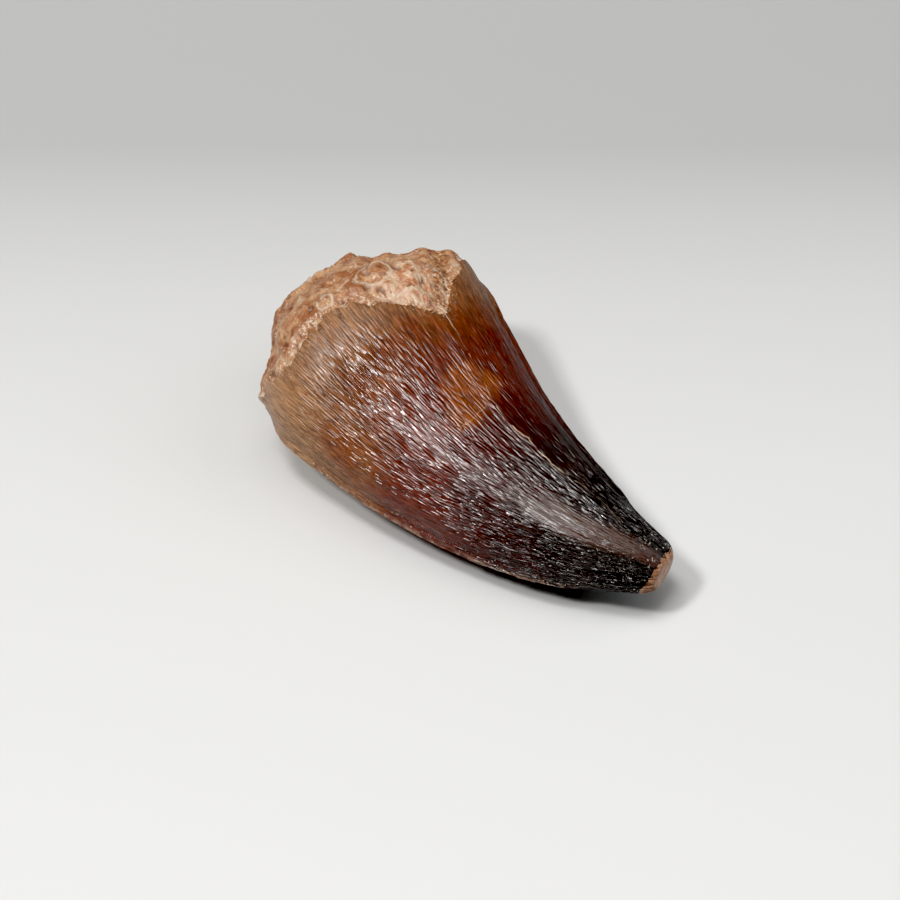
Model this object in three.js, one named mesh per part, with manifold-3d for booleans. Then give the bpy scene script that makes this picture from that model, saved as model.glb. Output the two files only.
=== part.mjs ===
// A fossil mosasaur tooth, lying on its side the way a loose tooth comes to rest.
// The tip points to +X, the broken root to -X, the convex edge faces -Y and the concave edge +Y.
// The whole specimen is one stony piece: enamel crown, root band and the sandy crust grown onto it.
import * as THREE from 'three';
import { mergeVertices } from 'three/addons/utils/BufferGeometryUtils.js';
import Module from 'manifold-3d';

const wasm = await Module();
wasm.setup();

// Size and posture of the crown, in millimetres and degrees
const CROWN_LENGTH = 58.5;
const OUTWARD_BOW = 4.2;
const BOW_LEAN = 0.4;
const THICKNESS_TO_WIDTH = 0.72;
const SECTION_POWER = 2.2;
const ROLL = 4;
const TIP_LIFT = 5;
const TIP_LIFT_START = 0.45;

// Half of the crown's width, [share of the crown's length, millimetres], from the base to the tip
const HALF_WIDTHS = [
  [0, 12.1],
  [0.16, 16.5],
  [0.34, 14.8],
  [0.52, 12.0],
  [0.7, 9.1],
  [0.87, 5.9],
  [1, 3.0],
];

// The broken base: its edge is rounded off, it leans, and it is dished where the pulp cavity was
const BREAK_ROUNDING = 2.6;
const BREAK_LEAN_ACROSS = -0.15;
const BREAK_LEAN_UP = -0.2;
const BREAK_LEAN_REACH = 0.9;
const DISH_DEPTH = 3.6;
const DISH_SHARE = 0.8;

// Where the enamel stops, [degrees around, millimetres from the base]; the root band lies below it
const ENAMEL_EDGE = [
  [0, 8.6],
  [27, 10.5],
  [54, 15.2],
  [68, 18.8],
  [90, 15.0],
  [105, 12.5],
  [146, 11.2],
  [172, 6.0],
  [205, 4.6],
  [240, 7.4],
  [275, 9.2],
  [315, 7.2],
  [360, 8.6],
];
const ENAMEL_STEP = 0.35;
const ENAMEL_STEP_LENGTH = 1.6;

// Two cutting edges and the faint keel on the upper face: the angle each runs at, its height and
// width, and where it starts and ends in millimetres from the base
const KEELS = [
  { name: 'outer cutting edge', baseAngle: 192, tipAngle: 206, height: 0.5, width: 1.5, from: 5, to: 52 },
  { name: 'inner cutting edge', baseAngle: 10, tipAngle: 24, height: 0.45, width: 1.3, from: 8, to: 52 },
  { name: 'upper keel', baseAngle: 66, tipAngle: 88, height: 0.25, width: 1.2, from: 15, to: 53 },
];
const KEEL_RISE_LENGTH = 8;
const KEEL_FADE_LENGTH = 4;

// Swellings (+) and bites (-) of the root band: millimetres from the base, degrees, radius and height
const CRUST_FORMS = [
  { name: 'corner spur', from: 6.4, angle: 178, radius: 3.0, height: 0.6 },
  { name: 'bite beside the spur', from: 5.6, angle: 152, radius: 4.4, height: -1.4 },
  { name: 'bite in the outer rim', from: 0, angle: 164, radius: 5.0, height: -1.3 },
  { name: 'left crust swelling', from: 7.5, angle: 124, radius: 4.5, height: 0.35 },
  { name: 'top crust swelling', from: 4.6, angle: 97, radius: 4.0, height: 0.5 },
  { name: 'notch in the top rim', from: 6.4, angle: 76, radius: 2.0, height: -0.9 },
  { name: 'knob on the top rim', from: 0.6, angle: 71, radius: 2.4, height: 0.8 },
  { name: 'bite behind the notch', from: 0, angle: 52, radius: 4.0, height: -0.7 },
  { name: 'round crust scab', from: 9.6, angle: 85, radius: 2.3, height: 0.5 },
  { name: 'sandy patch', from: 14.0, angle: 77, radius: 3.2, height: 0.35 },
  { name: 'hollow behind the patch', from: 7.0, angle: 66, radius: 4.2, height: -1.2 },
  { name: 'shoulder swelling', from: 9.0, angle: 33, radius: 5.5, height: 0.7 },
  { name: 'inner rim bite', from: 2.0, angle: 8, radius: 3.4, height: -0.8 },
  { name: 'inner crust knob', from: 4.5, angle: 338, radius: 3.2, height: 0.7 },
  { name: 'underside bite', from: 1.5, angle: 300, radius: 4.2, height: -1.0 },
  { name: 'underside knob', from: 4.4, angle: 246, radius: 3.6, height: 0.6 },
  { name: 'outer rim bite', from: 1.2, angle: 222, radius: 3.0, height: -0.9 },
];

// The grainy break that runs down from the rim beside the upper keel, along a slanting line
const GRAINY_STRIP = {
  startFrom: 8.0, startAngle: 44, endFrom: 19.5, endAngle: 69, halfWidth: 1.5, edge: 0.45, depth: 0.35,
};

// Knobs scattered over the dished break: share of the way out to the rim, degrees, radius and height
const BREAK_KNOBS = [
  { outward: 0.2, angle: 40, radius: 3.0, height: 1.3 },
  { outward: 0.45, angle: 150, radius: 3.4, height: 1.5 },
  { outward: 0.55, angle: 265, radius: 2.8, height: -1.1 },
  { outward: 0.6, angle: 335, radius: 3.2, height: 1.2 },
  { outward: 0.7, angle: 95, radius: 3.0, height: -1.2 },
  { outward: 0.78, angle: 205, radius: 2.6, height: 1.0 },
  { outward: 0.8, angle: 30, radius: 2.4, height: 1.1 },
];

// The unevenness of the crust and the break: crossing waves, in radians for each millimetre
const CRUST_ROUGHNESS = 0.28;
const BREAK_ROUGHNESS = 0.4;
const COARSE_WAVES = [new THREE.Vector3(0.9, 0.6, 0), new THREE.Vector3(0, 0.8, -0.7)];
const FINE_WAVES = [new THREE.Vector3(0.9, 0, 1.7), new THREE.Vector3(1.1, -1.6, 0)];
const COARSE_SHIFT = 0.6;
const FINE_SHIFT = 1.1;
const FINE_SHARE = 0.6;

// The worn tip: a rounded stub with a flat facet rubbed on it, turned in with the curve of the tooth
const WEAR_SETBACK = 0.3;
const WEAR_TURN_DOWN = 2;
const WEAR_TURN_IN = 14;
const TIP_ROUNDING = 2.0;
const TIP_FULLNESS = 2.6;

// The patch it rests on is rubbed flat by this much
const REST_WEAR = 0.3;

// How finely the surface is faceted
const AROUND = 84;
const ROOT_RINGS = 13;
const CROWN_RINGS = 20;
const ROUNDING_RINGS = 3;
const DISH_RINGS = 9;
const TIP_RINGS = 5;
const ROOT_SHARE = 0.34;

const COLOUR = 0x6b3a22;
const GLOSS_ROUGHNESS = 0.4;

const radians = THREE.MathUtils.degToRad;

// A smooth curve through a few [place, value] pairs
function smoothThrough(pairs, place) {
  let i = 0;
  while (i < pairs.length - 2 && place > pairs[i + 1][0]) i += 1;
  const slope = (k) => {
    const before = pairs[Math.max(k - 1, 0)];
    const after = pairs[Math.min(k + 1, pairs.length - 1)];
    return (after[1] - before[1]) / (after[0] - before[0]);
  };
  const [x0, y0] = pairs[i];
  const [x1, y1] = pairs[i + 1];
  const span = x1 - x0;
  const u = (place - x0) / span;
  const rise = y0 * (2 * u ** 3 - 3 * u ** 2 + 1) + y1 * (3 * u ** 2 - 2 * u ** 3);
  return rise + span * (slope(i) * (u ** 3 - 2 * u ** 2 + u) + slope(i + 1) * (u ** 3 - u ** 2));
}

function ease(low, high, value) {
  return THREE.MathUtils.smoothstep(value, low, high);
}

// The smallest turn between two angles, in degrees
function turnBetween(a, b) {
  return Math.abs(((a - b + 540) % 360) - 180);
}

// A round swelling that fades out at its radius
function bump(distance, radius) {
  const share = Math.min(distance / radius, 1);
  return (1 - share * share) ** 2;
}

// One point of the flattened, slightly rolled cross-section, for a half-width of 1
function sectionPoint(degrees) {
  const angle = radians(degrees);
  const power = 2 / SECTION_POWER;
  const across = Math.sign(Math.cos(angle)) * Math.abs(Math.cos(angle)) ** power;
  const up = THICKNESS_TO_WIDTH * Math.sign(Math.sin(angle)) * Math.abs(Math.sin(angle)) ** power;
  return new THREE.Vector2(across, up).rotateAround(new THREE.Vector2(0, 0), radians(ROLL));
}

function lowestOfSection() {
  let lowest = 0;
  for (let degrees = 180; degrees < 360; degrees += 1) {
    lowest = Math.min(lowest, sectionPoint(degrees).y);
  }
  return -lowest;
}

const SECTION_DROP = lowestOfSection();

// The curved line that the crown is built on, seen from above
function centreLine(share) {
  const side = -4 * OUTWARD_BOW * share * (1 - share) * (1 + BOW_LEAN * (share - 0.5));
  return new THREE.Vector2(CROWN_LENGTH * (share - 0.5), side);
}

function forward(share) {
  const step = 0.001;
  return centreLine(share + step).sub(centreLine(share - step)).normalize();
}

// A point of the smooth tooth: share of the crown's length, degrees around, shrink of the section,
// and how far it is pushed back behind the base
function toothPoint(share, degrees, shrink, back) {
  const halfWidth = smoothThrough(HALF_WIDTHS, share);
  const outline = sectionPoint(degrees).multiplyScalar(halfWidth * shrink);
  const lean = (BREAK_LEAN_ACROSS * outline.x + BREAK_LEAN_UP * outline.y)
    * Math.max(1 - share / BREAK_LEAN_REACH, 0) ** 2;
  const ahead = forward(share);
  const centre = centreLine(share);
  const rise = halfWidth * SECTION_DROP
    + TIP_LIFT * Math.max((share - TIP_LIFT_START) / (1 - TIP_LIFT_START), 0) ** 2;
  return new THREE.Vector3(
    centre.x - outline.x * ahead.y + (lean - back) * ahead.x,
    centre.y + outline.x * ahead.x + (lean - back) * ahead.y,
    rise + outline.y,
  );
}

// The direction out of the surface across the section, good enough for low relief
function outwardAt(share, degrees) {
  const outline = sectionPoint(degrees);
  const ahead = forward(share);
  const normal = new THREE.Vector2(outline.x, outline.y / THICKNESS_TO_WIDTH ** 2).normalize();
  return new THREE.Vector3(-normal.x * ahead.y, normal.x * ahead.x, normal.y);
}

// Millimetres of surface between an angle and another one at this place
function arcLength(share, turn) {
  const meanRadius = smoothThrough(HALF_WIDTHS, share) * (1 + THICKNESS_TO_WIDTH) / 2;
  return meanRadius * radians(turn);
}

function keelHeight(share, degrees) {
  const from = share * CROWN_LENGTH;
  let height = 0;
  for (const keel of KEELS) {
    const line = THREE.MathUtils.lerp(keel.baseAngle, keel.tipAngle, share);
    const distance = arcLength(share, turnBetween(degrees, line));
    const risen = ease(keel.from, keel.from + KEEL_RISE_LENGTH, from);
    const faded = ease(keel.to - KEEL_FADE_LENGTH, keel.to, from);
    height += keel.height * risen * (1 - faded) * bump(distance, keel.width);
  }
  return height;
}

function crustForms(share, degrees) {
  const from = share * CROWN_LENGTH;
  let height = 0;
  for (const form of CRUST_FORMS) {
    const distance = Math.hypot(arcLength(share, turnBetween(degrees, form.angle)), from - form.from);
    height += form.height * bump(distance, form.radius);
  }
  return height;
}

function grainyStripDepth(share, degrees) {
  const strip = GRAINY_STRIP;
  const from = share * CROWN_LENGTH;
  const run = (from - strip.startFrom) / (strip.endFrom - strip.startFrom);
  const line = THREE.MathUtils.lerp(strip.startAngle, strip.endAngle, THREE.MathUtils.clamp(run, 0, 1));
  const past = Math.max(strip.startFrom - from, from - strip.endFrom, 0);
  const distance = Math.hypot(arcLength(share, turnBetween(degrees, line)), past);
  return strip.depth * (1 - ease(strip.halfWidth - strip.edge, strip.halfWidth + strip.edge, distance));
}

function crossing(point, waves, shift) {
  return Math.sin(point.dot(waves[0]) + shift) * Math.sin(point.dot(waves[1]));
}

// Between about -1 and 1, grainy to the eye but the same every time
function unevenness(point) {
  return crossing(point, COARSE_WAVES, COARSE_SHIFT) + FINE_SHARE * crossing(point, FINE_WAVES, FINE_SHIFT);
}

// A finished point of the side wall, root band and crown
function sidePoint(share, degrees, shrink, back) {
  const point = toothPoint(share, degrees, shrink, back);
  const from = share * CROWN_LENGTH - back;
  const edge = smoothThrough(ENAMEL_EDGE, degrees);
  const onEnamel = ease(edge - ENAMEL_STEP_LENGTH, edge, from);
  const relief = keelHeight(share, degrees) + crustForms(share, degrees)
    - grainyStripDepth(share, degrees) - ENAMEL_STEP * (1 - onEnamel)
    + CRUST_ROUGHNESS * unevenness(point) * (1 - onEnamel);
  return point.addScaledVector(outwardAt(share, degrees), relief);
}

// A finished point of the broken face: outward is 0 at its middle and 1 where the rounding starts
function breakPoint(outward, degrees) {
  const rimShrink = (HALF_WIDTHS[0][1] - BREAK_ROUNDING) / HALF_WIDTHS[0][1];
  const point = toothPoint(0, degrees, rimShrink * outward, BREAK_ROUNDING);
  let dish = DISH_DEPTH * (1 - ease(0, DISH_SHARE, outward));
  const reach = rimShrink * HALF_WIDTHS[0][1];
  for (const knob of BREAK_KNOBS) {
    const across = outward * Math.cos(radians(degrees)) - knob.outward * Math.cos(radians(knob.angle));
    const up = outward * Math.sin(radians(degrees)) - knob.outward * Math.sin(radians(knob.angle));
    dish -= knob.height * bump(reach * Math.hypot(across, up), knob.radius);
  }
  point.x += dish - BREAK_ROUGHNESS * unevenness(point) * Math.min(outward * 2, 1);
  return point;
}

// Every ring from the middle of the break to the tip, each a function of the angle
function surfaceRings() {
  const rings = [];
  for (let i = 1; i <= DISH_RINGS; i += 1) {
    const outward = i / DISH_RINGS;
    rings.push((degrees) => breakPoint(outward, degrees));
  }
  for (let i = ROUNDING_RINGS - 1; i >= 1; i -= 1) {
    const turn = (i / ROUNDING_RINGS) * Math.PI / 2;
    const shrink = 1 - BREAK_ROUNDING * (1 - Math.cos(turn)) / HALF_WIDTHS[0][1];
    rings.push((degrees) => sidePoint(0, degrees, shrink, BREAK_ROUNDING * Math.sin(turn)));
  }
  for (let i = 0; i < ROOT_RINGS; i += 1) {
    const share = ROOT_SHARE * i / ROOT_RINGS;
    rings.push((degrees) => sidePoint(share, degrees, 1, 0));
  }
  const tipStart = 1 - TIP_ROUNDING / CROWN_LENGTH;
  for (let i = 0; i <= CROWN_RINGS; i += 1) {
    const share = THREE.MathUtils.lerp(ROOT_SHARE, tipStart, i / CROWN_RINGS);
    rings.push((degrees) => sidePoint(share, degrees, 1, 0));
  }
  for (let i = 1; i <= TIP_RINGS; i += 1) {
    const along = i / (TIP_RINGS + 1);
    const share = THREE.MathUtils.lerp(tipStart, 1, along);
    const shrink = (1 - along ** TIP_FULLNESS) ** (1 / TIP_FULLNESS);
    rings.push((degrees) => sidePoint(share, degrees, shrink, 0));
  }
  return rings;
}

// The closed skin of the tooth as vertices and triangles
function skin() {
  const rings = surfaceRings();
  const points = [breakPoint(0, 0)];
  for (const ring of rings) {
    for (let k = 0; k < AROUND; k += 1) points.push(ring(360 * k / AROUND));
  }
  points.push(toothPoint(1, 0, 0, 0));
  const at = (ring, k) => 1 + ring * AROUND + (k % AROUND);
  const last = points.length - 1;
  const triangles = [];
  for (let k = 0; k < AROUND; k += 1) {
    triangles.push(0, at(0, k + 1), at(0, k));
    triangles.push(last, at(rings.length - 1, k), at(rings.length - 1, k + 1));
    for (let ring = 0; ring < rings.length - 1; ring += 1) {
      triangles.push(at(ring, k), at(ring, k + 1), at(ring + 1, k + 1));
      triangles.push(at(ring, k), at(ring + 1, k + 1), at(ring + 1, k));
    }
  }
  return { points, triangles };
}

function solidFrom(points, triangles) {
  const vertProperties = new Float32Array(points.flatMap((point) => point.toArray()));
  const triVerts = new Uint32Array(triangles);
  return new wasm.Manifold(new wasm.Mesh({ numProp: 3, vertProperties, triVerts }));
}

// A cube as a solid, placed by a matrix; it takes away what is worn off
function blockSolid(size, placement) {
  const box = new THREE.BoxGeometry(size, size, size).applyMatrix4(placement);
  box.deleteAttribute('normal');
  box.deleteAttribute('uv');
  const merged = mergeVertices(box);
  const place = merged.getAttribute('position');
  const corner = (_, i) => new THREE.Vector3().fromBufferAttribute(place, i);
  const points = Array.from({ length: place.count }, corner);
  return solidFrom(points, [...merged.index.array]);
}

// What the wear facet takes off the tip
function wearBlock() {
  const size = 30;
  const tip = toothPoint(1, 0, 0, 0);
  const turn = new THREE.Euler(0, radians(WEAR_TURN_DOWN), radians(WEAR_TURN_IN), 'ZYX');
  const placement = new THREE.Matrix4().makeTranslation(tip)
    .multiply(new THREE.Matrix4().makeRotationFromEuler(turn))
    .multiply(new THREE.Matrix4().makeTranslation(size / 2 - WEAR_SETBACK, 0, 0));
  return blockSolid(size, placement);
}

// What is rubbed off underneath, where the tooth lies on the table
function tableBlock(lowest) {
  const size = 200;
  const placement = new THREE.Matrix4().makeTranslation(0, 0, lowest + REST_WEAR - size / 2);
  return blockSolid(size, placement);
}

// The finished tooth, stood with its rest patch at height 0 and its outline centred on the origin
function toothGeometry() {
  const { points, triangles } = skin();
  const lowest = Math.min(...points.map((point) => point.z));
  const worn = solidFrom(points, triangles).subtract(wearBlock()).subtract(tableBlock(lowest));
  const mesh = worn.getMesh();
  const geometry = new THREE.BufferGeometry();
  geometry.setAttribute('position', new THREE.BufferAttribute(mesh.vertProperties, 3));
  geometry.setIndex(new THREE.BufferAttribute(mesh.triVerts, 1));
  geometry.computeBoundingBox();
  const centre = geometry.boundingBox.getCenter(new THREE.Vector3());
  geometry.translate(-centre.x, -centre.y, -geometry.boundingBox.min.z);
  geometry.computeVertexNormals();
  return geometry;
}

const tooth = new THREE.Mesh(
  toothGeometry(),
  new THREE.MeshStandardMaterial({ color: COLOUR, roughness: GLOSS_ROUGHNESS, metalness: 0 }),
);
tooth.name = 'tooth';

const specimen = new THREE.Group();
specimen.add(tooth);

export default specimen;
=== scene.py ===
# %% [markdown]
# This lesson dresses a fossil mosasaur tooth, lying on its side on a pale table. The CAD model gives the
# large forms and the place of everything. It is loaded first and never moved. The tooth grew, fossilised
# and broke as one piece, so one finely built mesh takes its place.

import math

import bpy
import numpy as np
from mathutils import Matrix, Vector, noise


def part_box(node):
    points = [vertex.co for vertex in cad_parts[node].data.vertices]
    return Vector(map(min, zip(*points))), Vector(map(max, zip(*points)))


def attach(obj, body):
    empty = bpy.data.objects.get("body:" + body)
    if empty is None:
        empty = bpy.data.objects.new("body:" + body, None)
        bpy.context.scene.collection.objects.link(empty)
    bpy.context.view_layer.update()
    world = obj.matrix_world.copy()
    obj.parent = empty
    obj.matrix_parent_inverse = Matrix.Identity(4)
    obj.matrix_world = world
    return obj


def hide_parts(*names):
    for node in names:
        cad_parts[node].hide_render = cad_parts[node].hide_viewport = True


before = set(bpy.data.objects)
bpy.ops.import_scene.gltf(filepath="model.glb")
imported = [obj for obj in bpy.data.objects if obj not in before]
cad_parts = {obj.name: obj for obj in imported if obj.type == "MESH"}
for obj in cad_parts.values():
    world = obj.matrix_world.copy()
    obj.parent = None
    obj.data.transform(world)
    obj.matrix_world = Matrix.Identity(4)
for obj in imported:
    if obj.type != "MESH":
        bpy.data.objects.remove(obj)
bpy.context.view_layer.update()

# %% [markdown]
# The crown is a curved cone with a flattened section. It could be sculpted by hand, but the CAD model
# already describes it by a handful of numbers: how wide it is at seven places, how it bows, how it is
# rolled. The same numbers are used here, in millimetres, so that the fine mesh lies on the CAD solid
# everywhere.

# %% Size and posture of the crown
MM = 0.001
CROWN_LENGTH = 58.5
OUTWARD_BOW = 4.2
BOW_LEAN = 0.4
THICKNESS_TO_WIDTH = 0.72
SECTION_POWER = 2.2
ROLL = 4
TIP_LIFT = 5
TIP_LIFT_START = 0.45
HALF_WIDTHS = [(0, 12.1), (0.16, 16.5), (0.34, 14.8), (0.52, 12.0), (0.7, 9.1), (0.87, 5.9), (1, 3.0)]


def smooth_through(pairs, place):
    """A smooth curve through a few (place, value) pairs."""
    places, values = np.array(pairs, float).T
    place = np.asarray(place, float)
    i = np.clip(np.searchsorted(places, place) - 1, 0, len(places) - 2)
    number = np.arange(len(places))
    before, after = np.maximum(number - 1, 0), np.minimum(number + 1, len(places) - 1)
    slopes = (values[after] - values[before]) / (places[after] - places[before])
    span = places[i + 1] - places[i]
    u = (place - places[i]) / span
    level = values[i] * (2 * u**3 - 3 * u**2 + 1) + values[i + 1] * (3 * u**2 - 2 * u**3)
    return level + span * (slopes[i] * (u**3 - 2 * u**2 + u) + slopes[i + 1] * (u**3 - u**2))


def ease(low, high, value):
    """0 below low, 1 above high and a soft step between."""
    u = np.clip((value - low) / (high - low), 0, 1)
    return u * u * (3 - 2 * u)


print("Half width in the middle:", round(float(smooth_through(HALF_WIDTHS, 0.5)), 2), "mm")


# %% [markdown]
# Each point of the surface has two names: how far it is from the base, as a share of the crown's length,
# and how far round it is in degrees. 0 is the concave edge, 90 the top, 180 the convex edge, 270 the belly.
# The section is a superellipse, which is what an ellipse turns into when its flanks are pressed flatter. It
# could be drawn as a curve with handles, but a formula gives every angle exactly.

# %% The section, and the bowed line through the middle
def section(degrees):
    """Across and up on the rolled section, for a half width of 1."""
    angle = np.radians(degrees)
    power = 2 / SECTION_POWER
    across = np.sign(np.cos(angle)) * np.abs(np.cos(angle)) ** power
    up = THICKNESS_TO_WIDTH * np.sign(np.sin(angle)) * np.abs(np.sin(angle)) ** power
    roll = math.radians(ROLL)
    return across * math.cos(roll) - up * math.sin(roll), across * math.sin(roll) + up * math.cos(roll)


SECTION_DROP = -section(np.arange(180, 360))[1].min()


def centre_line(share):
    """Along and aside of the bowed line, in millimetres."""
    side = -4 * OUTWARD_BOW * share * (1 - share) * (1 + BOW_LEAN * (share - 0.5))
    return CROWN_LENGTH * (share - 0.5), side


def forward(share):
    """The direction of the centre line, seen from above."""
    step = 0.001
    (x1, y1), (x0, y0) = centre_line(share + step), centre_line(share - step)
    length = np.hypot(x1 - x0, y1 - y0)
    return (x1 - x0) / length, (y1 - y0) / length


print("The section reaches", round(float(SECTION_DROP), 3), "half widths below its middle")

# %% [markdown]
# The section travels along the bowed line, tilts where the base broke off askew, and lifts towards the tip.
# A curve with a bevel would look the same, but no other step could then ask it where a point is. So the
# place of any point and the direction out of the surface are two functions.

# %% A point of the smooth tooth
BREAK_LEAN_ACROSS = -0.15
BREAK_LEAN_UP = -0.2
BREAK_LEAN_REACH = 0.9


def tooth_point(share, degrees, shrink=1.0, back=0.0):
    """A point in millimetres; shrink draws the section in and back pushes it towards the base."""
    half_width = smooth_through(HALF_WIDTHS, share)
    across, up = (side * half_width * shrink for side in section(degrees))
    near_break = np.maximum(1 - share / BREAK_LEAN_REACH, 0) ** 2
    lean = (BREAK_LEAN_ACROSS * across + BREAK_LEAN_UP * up) * near_break
    ahead_x, ahead_y = forward(share)
    centre_x, centre_y = centre_line(share)
    lift = TIP_LIFT * np.maximum((share - TIP_LIFT_START) / (1 - TIP_LIFT_START), 0) ** 2
    x = centre_x - across * ahead_y + (lean - back) * ahead_x
    y = centre_y + across * ahead_x + (lean - back) * ahead_y
    z = half_width * SECTION_DROP + lift + up
    return np.stack(np.broadcast_arrays(x, y, z), -1)


def outward_at(share, degrees):
    """The direction out of the surface across the section."""
    across, up = section(degrees)
    up = up / THICKNESS_TO_WIDTH**2
    length = np.hypot(across, up)
    across, up = across / length, up / length
    ahead_x, ahead_y = forward(share)
    return np.stack(np.broadcast_arrays(-across * ahead_y, across * ahead_x, up), -1)


print("The tip is at", tooth_point(1.0, 0.0, 0.0).round(2), "mm before the tooth is centred")

# %% [markdown]
# The root band is a broken, swollen ring of bone and cemented sand. Its big lumps and bites are the ones of
# the CAD model, each a round swelling with a place, a radius and a height. The enamel ends above it in a
# thin step. Two cutting edges run down the crown, and a fainter keel runs between them on the upper face.

# %% The lumps, bites, keels and the end of the enamel
ENAMEL_EDGE = [
    # angle, millimetres from the base
    (0, 8.6), (27, 10.5), (54, 15.2), (68, 18.8), (90, 15.0), (105, 12.5), (146, 11.6),
    (166, 9.4), (180, 7.8), (205, 4.6), (240, 7.4), (275, 9.2), (315, 7.2), (360, 8.6),
]
KEELS = {
    # angle at the base and at the tip, height, width, millimetres from the base where it starts and ends
    "outer cutting edge": (192, 206, 0.5, 1.5, 5, 52),
    "inner cutting edge": (10, 24, 0.45, 1.3, 8, 52),
    "upper keel": (66, 88, 0.25, 1.2, 15, 53),
}
KEEL_RISE_LENGTH = 8
KEEL_FADE_LENGTH = 4
CRUST_FORMS = {
    # millimetres from the base, angle, radius, height
    "corner spur": (6.4, 178, 3.0, 0.6),
    "bite beside the spur": (5.6, 152, 4.4, -1.4),
    "bite in the outer rim": (0, 164, 5.0, -1.3),
    "left crust swelling": (7.5, 124, 4.5, 0.35),
    "top crust swelling": (4.6, 97, 4.0, 0.5),
    "notch in the top rim": (6.4, 76, 2.0, -0.9),
    "knob on the top rim": (0.6, 71, 2.4, 0.8),
    "bite behind the notch": (0, 52, 4.0, -0.7),
    "round crust scab": (9.6, 85, 2.3, 0.5),
    "sandy patch": (14.0, 77, 3.2, 0.35),
    "hollow behind the patch": (7.0, 66, 4.2, -1.2),
    "shoulder swelling": (9.0, 33, 5.5, 0.7),
    "inner rim bite": (2.0, 8, 3.4, -0.8),
    "inner crust knob": (4.5, 338, 3.2, 0.7),
    "underside bite": (1.5, 300, 4.2, -1.0),
    "underside knob": (4.4, 246, 3.6, 0.6),
    "outer rim bite": (1.2, 222, 3.0, -0.9),
}
GRAINY_STRIP = {"from": (8.0, 44), "to": (19.5, 69), "half_width": 1.5, "edge": 0.45, "depth": 0.35}
print(len(CRUST_FORMS), "lumps and bites,", len(KEELS), "keels")

# %% [markdown]
# Every lump, bite and keel has the same round profile, which begins and ends without a crease. Lumps could
# be balls joined to the tooth, but each would leave a sharp line around itself. How far a point is from the
# middle of a lump is measured over the surface, along the tooth and round it.

# %% Round swellings, soft bands and distances over the surface
def bump(distance, radius):
    """A round swelling that fades out at its radius."""
    share = np.minimum(distance / radius, 1)
    return (1 - share * share) ** 2


def band(value, start, full, fade, end):
    """0 before start, 1 from full to fade and 0 again from end on."""
    return ease(start, full, value) * (1 - ease(fade, end, value))


def turn_between(a, b):
    """Degrees between two angles, the short way round."""
    return np.abs((a - b + 540) % 360 - 180)


def near(degrees, middle, full, end):
    """1 up to so many degrees from the middle, 0 beyond the last ones."""
    return 1 - ease(full, end, turn_between(degrees, middle))


def arc_length(share, turn):
    """Millimetres round the tooth for a turn in degrees."""
    return smooth_through(HALF_WIDTHS, share) * (1 + THICKNESS_TO_WIDTH) / 2 * np.radians(turn)


def distance_to(share, degrees, place, angle):
    """Millimetres over the surface from a point to a place and an angle."""
    return np.hypot(arc_length(share, turn_between(degrees, angle)), share * CROWN_LENGTH - place)


print("Half way up, a quarter turn is", round(float(arc_length(0.5, 90)), 1), "mm over the surface")

# %% [markdown]
# A cutting edge is a low narrow ridge that rises out of the crown and fades before the tip. The grainy
# strip is a shallow trough where a sliver of enamel came off. Both could be curves pressed into the mesh.
# Here they follow from the distance to a line, so their edges stay soft, and all large relief is added up
# in one place.

# %% Keels, the grainy strip and the sum of the large relief
def keel_line(keel, share):
    """The angle at which a keel runs."""
    base_angle, tip_angle = keel[:2]
    return base_angle + (tip_angle - base_angle) * share


def keel_share(share, degrees, keel, width):
    """How much of a keel's height there is at a point, for a crest of this width."""
    start, end = keel[4:]
    risen = band(share * CROWN_LENGTH, start, start + KEEL_RISE_LENGTH, end - KEEL_FADE_LENGTH, end)
    return risen * bump(arc_length(share, turn_between(degrees, keel_line(keel, share))), width)


def strip_share(share, degrees):
    """1 inside the grainy strip that runs down from the rim, 0 outside it."""
    (start, start_angle), (end, end_angle) = GRAINY_STRIP["from"], GRAINY_STRIP["to"]
    from_base = share * CROWN_LENGTH
    run = np.clip((from_base - start) / (end - start), 0, 1)
    past = np.maximum(np.maximum(start - from_base, from_base - end), 0)
    aside = arc_length(share, turn_between(degrees, start_angle + (end_angle - start_angle) * run))
    half_width, edge = GRAINY_STRIP["half_width"], GRAINY_STRIP["edge"]
    return 1 - ease(half_width - edge, half_width + edge, np.hypot(aside, past))


def large_relief(share, degrees):
    """Millimetres that the forms of the CAD model stand out of the smooth tooth."""
    relief = -GRAINY_STRIP["depth"] * strip_share(share, degrees)
    for keel in KEELS.values():
        height, width = keel[2:4]
        relief = relief + height * keel_share(share, degrees, keel, width)
    for place, angle, radius, height in CRUST_FORMS.values():
        relief = relief + height * bump(distance_to(share, degrees, place, angle), radius)
    return relief


outer_keel_angle = keel_line(KEELS["outer cutting edge"], 0.5)
print("Half way up, the outer edge stands", round(float(large_relief(0.5, outer_keel_angle)), 2), "mm proud")

# %% [markdown]
# The mesh is built from rings of points, like the hoops of a barrel, from the broken face to the tip.
# Subdividing the CAD faces would keep their facets, so the rings are worked out afresh from the formulas.
# They stand close together over the crust, where the detail is small both ways, and further apart over the
# enamel, whose wrinkles are long. Points also crowd on the upper side. The broken face needs only every
# other one.

# %% Where the rings and their points are
AROUND = 720
CROWDING = 0.26
CROWDED_ANGLE = 105
BREAK_ROUNDING = 2.6
TIP_ROUNDING = 2.0
TIP_FULLNESS = 2.6
DISH_RINGS = 28
ROUNDING_RINGS = 8
CRUST_RINGS = 58
CRUST_REACH = 0.33
CROWN_RINGS = 46
TIP_RINGS = 11


def crowded_angles(count):
    """Angles all round, closer together near the crowded one."""
    even = np.arange(count) * 360 / count
    return (even - np.degrees(CROWDING) * np.sin(np.radians(even - CROWDED_ANGLE))) % 360


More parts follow.
